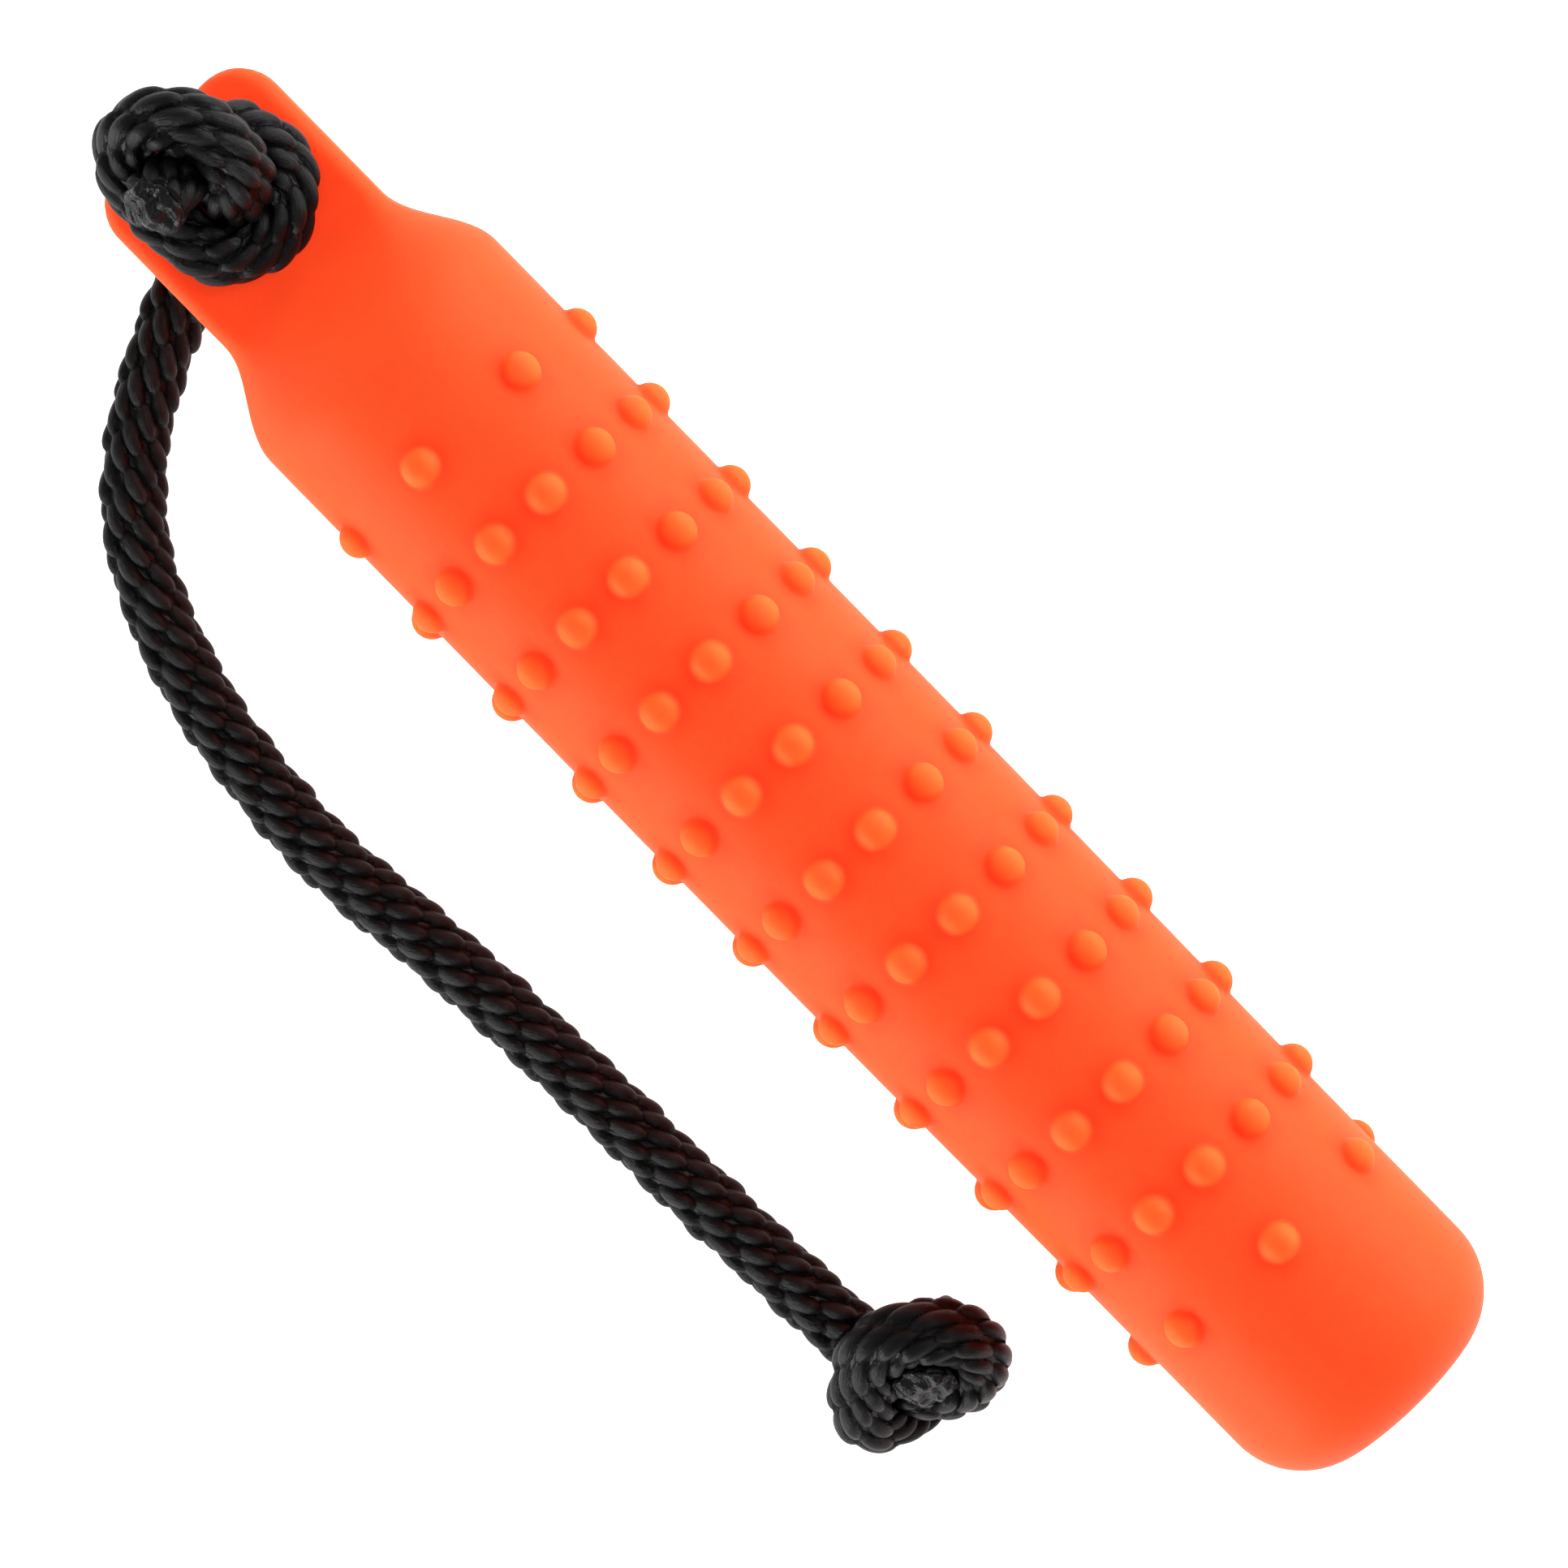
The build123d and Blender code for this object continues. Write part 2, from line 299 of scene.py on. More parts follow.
def nub_profile():
    """Distance from the nub's axis and height over the skin, from the top to the skin.
    The cap is an arc of the ball; the root is an arc that touches both the ball and the skin."""
    root_centre = math.sqrt((ball_r + NUB_ROOT)**2 - (NUB_ROOT + ball_depth)**2)
    cap_end = math.acos((NUB_ROOT + ball_depth) / (ball_r + NUB_ROOT))
    cap = np.linspace(0, cap_end, CAP_STEPS + 1)[1:]
    root = np.linspace(cap_end, 0, ROOT_STEPS + 1)[1:]
    away = np.r_[ball_r * np.sin(cap), root_centre - NUB_ROOT * np.sin(root)]
    height = np.r_[ball_r * np.cos(cap) - ball_depth, NUB_ROOT * (1 - np.cos(root))]
    return away, height


def border(x0, x1, a0, a1):
    """The rectangle's border, from its (x1, a0) corner, turning from +x towards +around."""
    side_x, side_a = np.linspace(x0, x1, ALONG + 1), np.linspace(a0, a1, ACROSS + 1)
    x = np.r_[np.full(ACROSS, x1), side_x[:0:-1], np.full(ACROSS, x0), side_x[:-1]]
    a = np.r_[side_a[:-1], np.full(ALONG, a1), side_a[:0:-1], np.full(ALONG, a0)]
    return x, a


def circle_angles(half_x, half_y):
    """Angles round the nub, even within each side of the rectangle."""
    corner = math.atan2(half_y, half_x)
    right = np.linspace(-corner, corner, ACROSS + 1)[:-1]
    top = np.linspace(corner, np.pi - corner, ALONG + 1)[:-1]
    return np.r_[right, top, right + np.pi, top + np.pi]


def nub_cell(shape, ring, row):
    """Adds one rectangle of skin with its nub."""
    a0, a1 = row * row_step, (row + 1) * row_step
    x0, x1 = cell_edge_x[ring], cell_edge_x[ring + 1]
    centre_x, centre_a, reach = ring_x[ring], (a0 + a1) / 2, body_radius(ring_x[ring])
    edge_x, edge_a = border(x0, x1, a0, a1)
    angles = circle_angles((x1 - x0) / 2, (a1 - a0) / 2 * reach)
    away, height = nub_profile()
    dome_x = centre_x + away[:, None] * np.cos(angles)
    dome_a = centre_a + away[:, None] * np.sin(angles) / reach
    share = np.linspace(0, 1, SKIN_STEPS + 1)[1:, None]
    skin_x = dome_x[-1] * (1 - share) + edge_x * share
    skin_a = dome_a[-1] * (1 - share) + edge_a * share
    all_x, all_a = np.vstack([dome_x, skin_x]), np.vstack([dome_a, skin_a])
    all_h = np.r_[height, np.zeros(SKIN_STEPS)][:, None] * np.ones(len(angles))
    top = on_body(np.array([centre_x]), np.array([centre_a]), np.array([NUB_H]))
    count = len(angles)
    shape.add(np.vstack([top, on_body(all_x, all_a, all_h).reshape(-1, 3)]),
              grid_faces(len(all_x), count, first=1), fan_faces(np.arange(1, count + 1), 0))


def plain_cell(shape, ring, row):
    """Adds one rectangle of skin without a nub."""
    x = np.linspace(cell_edge_x[ring], cell_edge_x[ring + 1], ALONG + 1)[:, None]
    a = np.linspace(row * row_step, (row + 1) * row_step, ACROSS + 1)[None, :]
    shape.add(on_body(x + 0 * a, a + 0 * x, 0 * x * a), grid_faces(ALONG + 1, ACROSS + 1, closed=False))


# %% [markdown]
# The tab and the shoulder are one loft. Each section is a rectangle with rounded corners, and as it
# grows from the flat tab to the round body its corners grow until nothing of the flats is left.
# All sections carry the same number of points, spaced evenly along their outline.

# %% Sections of the tab and the shoulder
SHOULDER_ROWS = 31
FLATS_GONE = 1.6  # the flats are gone at 1 / 1.6 of the shoulder


def section(half_w, half_h, corner):
    """A rounded rectangle's outline, from its top middle towards +Y: a flat, an arc, a flat."""
    top, side, arc = half_w - corner, half_h - corner, corner * np.pi / 2
    run = np.linspace(0, top + arc + side, QUARTER + 1)[:-1]
    turn = np.clip((run - top) / max(corner, TINY), 0, np.pi / 2)
    y = np.minimum(run, top) + corner * np.sin(turn)
    z = half_h - corner * (1 - np.cos(turn)) - np.maximum(run - top - arc, 0)
    quarter = np.stack([y, z], -1)
    down = np.stack([np.r_[half_w, quarter[:0:-1, 0]], -np.r_[0, quarter[:0:-1, 1]]], -1)
    right = np.vstack([quarter, down])
    return np.vstack([right, -right])


def section_at(x, half_w, half_h, corner):
    """A section's points in the plane at x."""
    outline = section(half_w, half_h, corner)
    return np.column_stack([np.full(COLUMNS, x), outline[:, 0], axis_z + outline[:, 1]])


def lofted(shape, sizes):
    """Adds a loft through sections given as (x, half width, half height, corner radius)."""
    shape.add(np.vstack([section_at(*size) for size in sizes]), grid_faces(len(sizes), COLUMNS))


def shoulder_size(u):
    """Section a share u along the shoulder: it widens first and thickens after."""
    half_w = TAB_HALF_W + (BODY_R - TAB_HALF_W) * ease((u * SHOULDER_LEN - WIDEN_START) / WIDEN_LEN)
    half_h = TAB_HALF_T + (BODY_R - TAB_HALF_T) * ease(u)
    roundness = TAB_EDGE_R / TAB_HALF_T
    corner = half_h * (roundness + (1 - roundness) * min(1.0, FLATS_GONE * u))
    return shoulder_x + u * SHOULDER_LEN, half_w, half_h, corner


def tab_size(x):
    """Section of the tab: its end is rounded in plan and at its edges."""
    left = x - tab_end_x
    in_plan, in_edge = max(0.0, TAB_CORNER_R - left), max(0.0, TAB_EDGE_R - left)
    half_w = TAB_HALF_W - TAB_CORNER_R + math.sqrt(TAB_CORNER_R**2 - in_plan**2)
    half_h = TAB_HALF_T - TAB_EDGE_R + math.sqrt(TAB_EDGE_R**2 - in_edge**2)
    return x, half_w, half_h, min(TAB_EDGE_R, half_h)


# %% [markdown]
# The hole in the tab needs round rims. A square window is left out of both flat faces of the tab,
# and a patch fills each: its border follows the window, and it closes to a circle that rolls over
# the rim and goes down to the middle of the tab, where the two patches meet.

# %% The hole for the rope
WINDOW = 12  # columns of the window, each side of the tab's middle
WINDOW_ROWS = 24
RIM_STEPS, NEAR_STEPS = 5, 3
EDGE_ROWS, CORNER_ROWS, LATE_ROWS = 7, 5, 6  # rows of the tab's rounded edge, its corners and its far part
ROW_ROOM = 0.2 * MM  # least room between the last early row and the window


def hole_patch(shape, window, side):
    """Adds the skin between one window's border and the middle of the hole; side is +1 on top."""
    angles = np.arctan2(window[:, 1], window[:, 0] - hole_x)
    rim_r = HOLE_R + HOLE_RIM
    circle = np.stack([hole_x + rim_r * np.cos(angles), rim_r * np.sin(angles)], -1)
    rings = []
    for share in np.linspace(0, 1, NEAR_STEPS + 1):
        flat = window[:, :2] * (1 - share) + circle * share
        rings.append(np.column_stack([flat, np.full(len(flat), TAB_HALF_T)]))
    for turn in np.linspace(0, np.pi / 2, RIM_STEPS + 1)[1:]:
        reach = HOLE_R + HOLE_RIM * (1 - np.sin(turn))
        rings.append(np.column_stack([hole_x + reach * np.cos(angles), reach * np.sin(angles),
                                      np.full(len(angles), TAB_HALF_T - HOLE_RIM * (1 - np.cos(turn)))]))
    rings.append(np.column_stack([hole_x + HOLE_R * np.cos(angles), HOLE_R * np.sin(angles), 0 * angles]))
    points = np.array(rings)
    points[:, :, 2] = axis_z + side * points[:, :, 2]
    quads = grid_faces(len(rings), len(angles))
    shape.add(points.reshape(-1, 3), quads if side < 0 else quads[:, ::-1])


def tab(shape):
    """Adds the tab: a loft with two windows, a cap at its end, and the hole."""
    turn = np.linspace(0, np.pi / 2, EDGE_ROWS)
    edge_x = tab_end_x + TAB_EDGE_R * (1 - np.cos(turn))
    corner_x = np.linspace(edge_x[-1], tab_end_x + TAB_CORNER_R, CORNER_ROWS)[1:]
    half_window = section(TAB_HALF_W, TAB_HALF_T, TAB_EDGE_R)[WINDOW, 0]
    window_x = np.linspace(hole_x - half_window, hole_x + half_window, WINDOW_ROWS + 1)
    early = np.r_[edge_x, corner_x]
    early = early[early < window_x[0] - ROW_ROOM]
    late = np.linspace(window_x[-1], shoulder_x, LATE_ROWS)[1:]
    rings = [section_at(*tab_size(x)) for x in np.r_[early, window_x, late]]
    quads = grid_faces(len(rings), COLUMNS).reshape(len(rings) - 1, COLUMNS, 4)
    keep = np.ones(quads.shape[:2], bool)
    rows = slice(len(early), len(early) + WINDOW_ROWS)
    for middle in (0, HALF):
        keep[rows, np.arange(middle - WINDOW, middle + WINDOW) % COLUMNS] = False
    shape.add(np.vstack(rings), quads[keep])
    # the end's cap: short strips between the top and the bottom edge, and a triangle at each side
    strip = np.arange(1, HALF - 1)
    strips = np.stack([strip + 1, strip, COLUMNS - strip, COLUMNS - strip - 1], -1)
    tips = np.array([[1, 0, COLUMNS - 1], [HALF, HALF - 1, HALF + 1]])
    shape.add(rings[0], (strips[:, ::-1] + QUARTER) % COLUMNS, (tips[:, ::-1] + QUARTER) % COLUMNS)
    for side, middle in ((1, 0), (-1, HALF)):
        picked = np.array(rings)[rows.start:rows.stop + 1]
        columns = np.arange(middle - WINDOW, middle + WINDOW + 1) % COLUMNS
        grid = picked[:, columns]
        if side < 0:
            grid = grid[:, ::-1]
        loop = np.vstack([grid[-1, :-1], grid[:0:-1, -1], grid[0, :0:-1], grid[:-1, 0]])
        hole_patch(shape, loop, side)


# %% [markdown]
# The plain end is turned, as on a lathe: a corner arc, a shallow crown, and a bore for the air
# valve. The same outline then goes on inside, round the valve's boss and along the air space, so the
# shell is closed and has a true wall.

# %% The plain end and the air space
NOSE_R = 13.0 * MM  # corner of the air space at the shoulder
AIR_BACK, AIR_FRONT = 10.0 * MM, 110.0 * MM  # its end before body_x, and where its straight wall starts
BORE_LIP, BORE_STEP, INNER_LIP_R = 0.4 * MM, 2.0 * MM, 10.0 * MM


def arc(centre, radius, start, end, count):
    """Points (x, distance from the axis) of an arc, with angles from +x, in degrees."""
    turn = np.radians(np.linspace(start, end, count))
    return np.column_stack([centre[0] + radius * np.cos(turn), centre[1] + radius * np.sin(turn)])


def end_outline():
    """From the last rectangle of skin, over the plain end, into the bore and back along the inside."""
    crown = plain_end_x - CROWN_R
    corner_x = crown + math.sqrt((CROWN_R - END_CORNER_R)**2 - (END_R - END_CORNER_R)**2)
    corner = (corner_x, END_R - END_CORNER_R)
    meet = math.degrees(math.atan2(corner[1], corner[0] - crown))
    lip = math.degrees(math.asin((VALVE_R + BORE_LIP) / CROWN_R))
    inner_lip = math.degrees(math.asin(INNER_LIP_R / CROWN_R))
    wall = np.column_stack([np.linspace(cell_edge_x[-1], corner_x, 6), np.full(6, END_R)])[:-1]
    bore_x = crown + CROWN_R * math.cos(math.radians(lip))
    boss_x = plain_end_x - VALVE_LEN
    inner_wall = END_R - WALL
    nose = (body_x - AIR_BACK + NOSE_R, BODY_R - WALL - NOSE_R)
    back = np.array([[bore_x - BORE_LIP, VALVE_R], [bore_x - BORE_STEP, VALVE_R], [boss_x, VALVE_R],
                     [boss_x, BOSS_R], [plain_end_x - 2 * WALL, BOSS_R]])
    return np.vstack([
        wall,
        arc(corner, END_CORNER_R, 90, meet, 16)[:-1],
        arc((crown, 0), CROWN_R, meet, lip, 9),
        back,
        arc((crown, 0), CROWN_R - 1.2 * WALL, inner_lip, meet, 4)[:-1],
        arc(corner, END_CORNER_R - WALL, meet, 90, 8),
        np.column_stack([np.linspace(AIR_FRONT, nose[0] + 4 * MM, 12), np.full(12, inner_wall)]),
        arc((nose[0], nose[1] - (BODY_R - END_R)), NOSE_R, 90, 180, 9),
    ])


def turned(shape, outline):
    """Adds a surface of revolution about the body's axis, with a fan at its last ring."""
    rows = len(outline)
    last = np.arange((rows - 1) * COLUMNS, rows * COLUMNS)
    tip = np.array([[outline[-1, 0], 0, axis_z]])
    shape.add(np.vstack([revolved(outline, COLUMNS).reshape(-1, 3), tip]), grid_faces(rows, COLUMNS),
              fan_faces(last, rows * COLUMNS, forward=False))


# %% Put the body together
WELD = 0.004 * MM  # border points this near each other are one point


def moulded_body():
    """The whole moulding as one closed mesh."""
    shape = Shape()
    tab(shape)
    lofted(shape, [shoulder_size(u) for u in np.linspace(0, 1, SHOULDER_ROWS)])
    join_x = np.linspace(body_x, cell_edge_x[0], 3)
    lofted(shape, [(x, *[body_radius(x)] * 3) for x in join_x])
    for ring in range(len(ring_x)):
        for row in range(ROWS):
            (nub_cell if has_nub(ring, row) else plain_cell)(shape, ring, row)
    turned(shape, end_outline())
    return shape.mesh("body_moulding", weld=WELD)


body_mesh = moulded_body()


def mark_nub_light_and_root_shade(mesh):
    """Gives each point two values: nub is 1 on a nub and 0 off it, and root is a bell curve,
    exp of minus a squared distance, that is highest just outside the nub. The material paints the
    nubs lighter by the first, a painted highlight, and the ring at their root darker by the second,
    painted shade."""
    x, y, z = points_of(mesh).T
    around = np.arctan2(y, z - axis_z) % (2 * np.pi)
    reach = np.hypot(y, z - axis_z)
    row = np.minimum((around / row_step).astype(int), ROWS - 1)
    ring = np.abs(x[:, None] - ring_x[None, :]).argmin(axis=1)
    real = np.array([[has_nub(i, k) for k in range(ROWS)] for i in range(len(ring_x))])[ring, row]
    off = np.hypot(x - ring_x[ring], (around - (row + 0.5) * row_step) * BODY_R)
    near = real & (reach > BODY_R - WALL / 2)
    on_nub = ease((NUB_R + 0.3 * MM - off) / (1.1 * MM))
    at_root = np.exp(-((off - NUB_R - 0.6 * MM) / (0.9 * MM))**2)
    give_values(mesh, "nub", np.where(near, on_nub, 0.0))
    give_values(mesh, "root", np.where(near, at_root, 0.0))


mark_nub_light_and_root_shade(body_mesh)
body = put(body_mesh)

# %% [markdown]
# ## The rope
#
# The rope is a solid braid of polypropylene, 11 mm thick. It comes down through the tab's hole,
# turns out from under the tab, and lies on the floor along the body. Its line is the CAD route,
# drawn again here as a spline with the same control points.

# %% The rope's route
ROPE_R = 5.6 * MM
ROPE_D = 2 * ROPE_R
rope_top_z = axis_z + TAB_HALF_T + 0.3 * MM
bend_z = (rope_top_z + math.sqrt(2) * ROPE_R) / (1 + math.sqrt(2)) + 0.1 * MM
slope = bend_z - ROPE_R
LINE_STEPS, LINE_POINTS = 24, 567  # steps of the spline, and points of the even line
ROUTE = [(hole_x, 0, rope_top_z), (hole_x, 0, bend_z), (hole_x + 0.12 * slope, -0.993 * slope, ROPE_R)] + [
    (x * MM, y * MM, ROPE_R) for x, y in (
        (-122, -27), (-113.4, -42.9), (-100.6, -55.4), (-83.6, -63.0), (-62.1, -67.5), (-40, -68.5),
        (-18, -65.6), (15.5, -63.8), (45, -63.3), (74, -61.6))]


def spline_points(control, steps):
    """Points along a NURBS curve that starts and ends at its first and last control points."""
    curve = bpy.data.curves.new("rope_line", "CURVE")
    curve.dimensions = "3D"
    line = curve.splines.new("NURBS")
    line.points.add(len(control) - 1)
    line.points.foreach_set("co", np.column_stack([control, np.ones(len(control))]).ravel())
    line.order_u, line.use_endpoint_u, line.resolution_u = 3, True, steps
    holder = bpy.data.objects.new("rope_line", curve)
    made = bpy.data.meshes.new_from_object(holder)
    points = points_of(made)
    bpy.data.objects.remove(holder)
    bpy.data.meshes.remove(made)
    return points


def evenly(line, count):
    """The line again as count points at equal distances, and its length."""
    run = np.r_[0, np.cumsum(np.linalg.norm(np.diff(line, axis=0), axis=1))]
    at = np.linspace(0, run[-1], count)
    return np.stack([np.interp(at, run, line[:, k]) for k in range(3)], axis=1), run[-1]


rope_line, rope_length = evenly(spline_points(ROUTE, LINE_STEPS), LINE_POINTS)
print("free rope", round(rope_length / MM, 1), "mm")

# %% [markdown]
# ## Two overhand knots
#
# A knot's shape comes from being pulled tight. An overhand knot is first drawn loosely with a
# formula for the trefoil's open form. Then many small steps shorten it, while every two parts that
# come nearer than the rope's thickness push each other away. What is left is a tight knot.

# %% Tighten a knot
SAME_PART = 3  # points this few steps apart don't push each other


def tighten(line, ends, steps, draw, fixed=0.0, heading=None, floor=None, free=0.0, count=130):
    """Lengths here are in rope diameters. Each step moves every point towards the middle of its
    neighbours and out of the rope's other parts; the ends move by the share draw towards ends.
    With a heading, the first fixed length stays straight along it. Past the free length, the line
    stays over the floor."""
    contact, bend, pull = 0.84, 0.62, 0.45  # least distance of two parts, least bend, share of a pull
    line, _ = evenly(line, count)
    start, number = line[0].copy(), np.arange(count)
    apart = np.abs(number[:, None] - number[None, :])
    for _ in range(steps):
        line, length = evenly(line, count)
        step = length / (count - 1)
        arc_share = np.minimum(apart * step / (2 * bend), np.pi / 2)
        least = np.where(arc_share < np.pi / 2, 2 * bend * np.sin(arc_share), contact)
        least = np.where(apart < SAME_PART, 0, np.minimum(least, contact))
        new = line.copy()
        new[1:-1] += pull * (0.5 * (line[:-2] + line[2:]) - line[1:-1])
        for _ in range(2):
            away = new[:, None] - new[None]
            dist = np.sqrt((away**2).sum(axis=2)) + TINY
            deep = np.clip(least - dist, 0, None)
            push = (away * (deep / dist)[:, :, None]).sum(axis=1)
            new += 0.5 * push / np.sqrt(np.maximum((deep > 0).sum(axis=1), 1))[:, None]
        if floor is not None:
            past = number * step > free
            new[past, 2] = np.maximum(new[past, 2], floor)
        if heading is None:
            new[0] = line[0] + (ends[0] - line[0]) * draw
        else:
            kept = max(2, round(fixed / step))
            new[:kept] = start + np.outer(np.arange(kept) * step, heading)
        new[-1] = line[-1] + (ends[1] - line[-1]) * draw
        line = new
    return evenly(line, count)[0]


def loose_overhand():
    """x = t^3 - 3t, y = t^4 - 4t^2, z = (t^5 - 10t) / 6, with straight leads up and down."""
    t = np.linspace(-2.2, 2.2, 150)
    knot = 0.9 * np.stack([t**3 - 3 * t, t**4 - 4 * t**2, (t**5 - 10 * t) / 6], axis=1)
    below, above, share = np.array([0, 0, -8.0]), np.array([0, 0, 8.0]), np.linspace(0, 1, 12)[:, None]
    lead_in, lead_out = below + (knot[0] - below) * share, knot[-1] + (above - knot[-1]) * share
    return np.vstack([lead_in[:-1], knot, lead_out[1:]])


def turned_about(axis, angle):
    """The rotation matrix about an axis (Rodrigues)."""
    x, y, z = np.array(axis, float) / np.linalg.norm(axis)
    cross = np.array([[0, -z, y], [z, 0, -x], [-y, x, 0]])
    return np.eye(3) + math.sin(angle) * cross + (1 - math.cos(angle)) * cross @ cross


def leaned_to(axis):
    """The rotation that takes +Z to an axis by the shortest way."""
    axis = np.array(axis, float) / np.linalg.norm(axis)
    side = np.cross([0, 0, 1], axis)
    return turned_about(side, math.acos(axis[2])) if np.linalg.norm(side) > TINY else np.eye(3)


PULLED_TO = np.array([0, 0, 3.2])  # each end's distance from the middle, up and down
TIGHTEN_STEPS, TIGHTEN_DRAW, SETTLE_DRAW = 1300, 0.01, 0.02
tight = tighten(loose_overhand(), (-PULLED_TO, PULLED_TO), TIGHTEN_STEPS, TIGHTEN_DRAW, count=150)


def settled(keep_below, spin, lean, steps, kept, **where):
    """The tight knot, cut off below, turned by spin degrees and leaned, let down against its
    surface, and its tail cut so that the share kept of its points is left."""
    line = tight[np.argmax(tight[:, 2] > -keep_below):]
    line = line @ turned_about((0, 0, 1), math.radians(spin)).T @ leaned_to(lean).T
    line -= line[0]
    line = tighten(line, (None, line[-1] + (0, 0, 0.6)), steps, SETTLE_DRAW, **where)
    return line[:round(kept * len(line))]


# %% [markdown]
# The tab's knot sits on top of the hole, with its melted end looking up. The other knot lies on the
# floor as a grip for the hand.

# %% Place both knots
def softened(line, passes):
    """Each pass moves every inner point halfway to the middle of its neighbours."""
    for _ in range(passes):
        line = np.vstack([line[:1], 0.5 * line[1:-1] + 0.25 * (line[:-2] + line[2:]), line[-1:]])
    return line


STEP = 0.45 * MM  # between rows of the rope's surface
FIRST_PASSES, LAST_PASSES = 30, 10  # of softening, on twice the points and on the last ones
TAB_SHIFT, TAB_SHIFT_RISE = 1.2 * MM, 7.0 * MM


def spaced(line):
    """The line with points STEP apart, softened."""
    count = max(2, round(evenly(line, 2)[1] / STEP) + 1)
    smooth = softened(evenly(line, count * 2)[0], FIRST_PASSES)
    return softened(evenly(smooth, count)[0], LAST_PASSES)


tab_line = settled(keep_below=0.95, spin=180, lean=(0.25, -0.25, 1), steps=150, kept=0.8,
                   fixed=0.22, heading=np.array([0, 0, 1.0]), floor=0.46, free=0.62)
tab_line = spaced(tab_line * ROPE_D + rope_line[0])
tab_line[:, 0] += TAB_SHIFT * ease((tab_line[:, 2] - rope_top_z) / TAB_SHIFT_RISE)

hand_line = settled(keep_below=1.3, spin=150, lean=(0.8, -0.1, 0.6), steps=250, kept=0.777,
                    fixed=0.18, heading=np.array([1.0, 0, 0]), floor=-0.03)
run_out = rope_line[-1] - rope_line[-2]
heading = math.atan2(run_out[1], run_out[0])
hand_line = spaced(hand_line @ turned_about((0, 0, 1), heading).T * ROPE_D + rope_line[-1])

# %% [markdown]
# ## One braid from end to end
#
# Knots and rope are one line, so the braid runs on through them. The surface is a tube round that
# line. Its radius comes from the braid: twelve columns of stitches, each stitch a small leaning
# ellipse with a round back. Where two parts of the rope touch, both stop at the plane halfway
# between them, and on the floor the rope stops at the floor, so it looks squeezed and never overlaps.

# %% Frames along the line
def frames(line):
    """Along, side and third axes at every point; the side axis turns as little as it can."""
    along = np.gradient(line, axis=0)
    along /= np.linalg.norm(along, axis=1)[:, None]
    side = np.empty_like(along)
    now = np.cross(along[0], [0.2, 0.9, 0.3])
    for i, axis in enumerate(along):
        now = now - axis * (now @ axis)
        now = now / np.linalg.norm(now)
        side[i] = now
    return along, side, np.cross(along, side)


whole_line = np.vstack([tab_line[::-1][:-1], rope_line[:-1], hand_line])
along, side, third = frames(whole_line)
AROUND = 96  # points round the rope
turn = circle_of(AROUND)
outward = np.cos(turn)[None, :, None] * side[:, None] + np.sin(turn)[None, :, None] * third[:, None]
run = np.r_[0, np.cumsum(np.linalg.norm(np.diff(whole_line, axis=0), axis=1))]

# %% The braid's stitches
STITCH_COLUMNS, STITCH_PITCH = 12, 8.1 * MM
STITCH_LONG, STITCH_WIDE, STITCH_LEAN = 3.5 * MM, 1.7 * MM, math.radians(-19)
BRAID_TWIST = math.tan(math.radians(9.3))  # how far the columns run round for each step along
CORE_R, STITCH_RISE = 4.25 * MM, 1.45 * MM
STITCH_R = CORE_R + STITCH_RISE / 2


def braid(run, turn):
    """Height 0 to 1 of the highest stitch at each place, and the place within that stitch.
    A stitch is h = sqrt(1 - (a/A)^2 - (b/B)^2), a along it and b across it. It is a little higher
    towards its front end, and each stitch has its own height by chance."""
    step = 2 * np.pi / STITCH_COLUMNS
    run, turn = run[:, None] + 0 * turn[None, :], turn[None, :] + 0 * run[:, None]
    best = np.zeros(run.shape)
    across, lengthwise, tone = np.zeros(run.shape), np.zeros(run.shape), np.zeros(run.shape)
    turn = turn + run * BRAID_TWIST / STITCH_R
    near_column = np.round(turn / step)
    for column in (near_column - 1, near_column, near_column + 1):
        shift = (column % 3) * STITCH_PITCH / 3
        near_stitch = np.round((run - shift) / STITCH_PITCH)
        for stitch in (near_stitch - 1, near_stitch, near_stitch + 1):
            ahead = run - shift - stitch * STITCH_PITCH
            beside = (turn - column * step) * STITCH_R
            a = (ahead * math.cos(STITCH_LEAN) + beside * math.sin(STITCH_LEAN)) / STITCH_LONG
            b = (beside * math.cos(STITCH_LEAN) - ahead * math.sin(STITCH_LEAN)) / STITCH_WIDE
            chance = np.sin((column % STITCH_COLUMNS) * 12.9898 + stitch * 78.233) * 43758.5453
            chance -= np.floor(chance)
            height = np.sqrt(np.clip(1 - a * a - b * b, 0, None)) * (1 + 0.38 * a) * (0.84 + 0.28 * chance)
            higher = height > best
            best = np.where(higher, height, best)
            across, lengthwise = np.where(higher, b, across), np.where(higher, a, lengthwise)
            tone = np.where(higher, chance, tone)
    return best, across, lengthwise, tone


AT_ONCE = 48  # rows worked on together
FREE = 1.0  # room where nothing is in the way, in metres
TOUCH_REACH = 2.4 * ROPE_R  # parts further apart than this never touch
LEAST_FACING, LEAST_DOWN = 1e-7, 1e-6


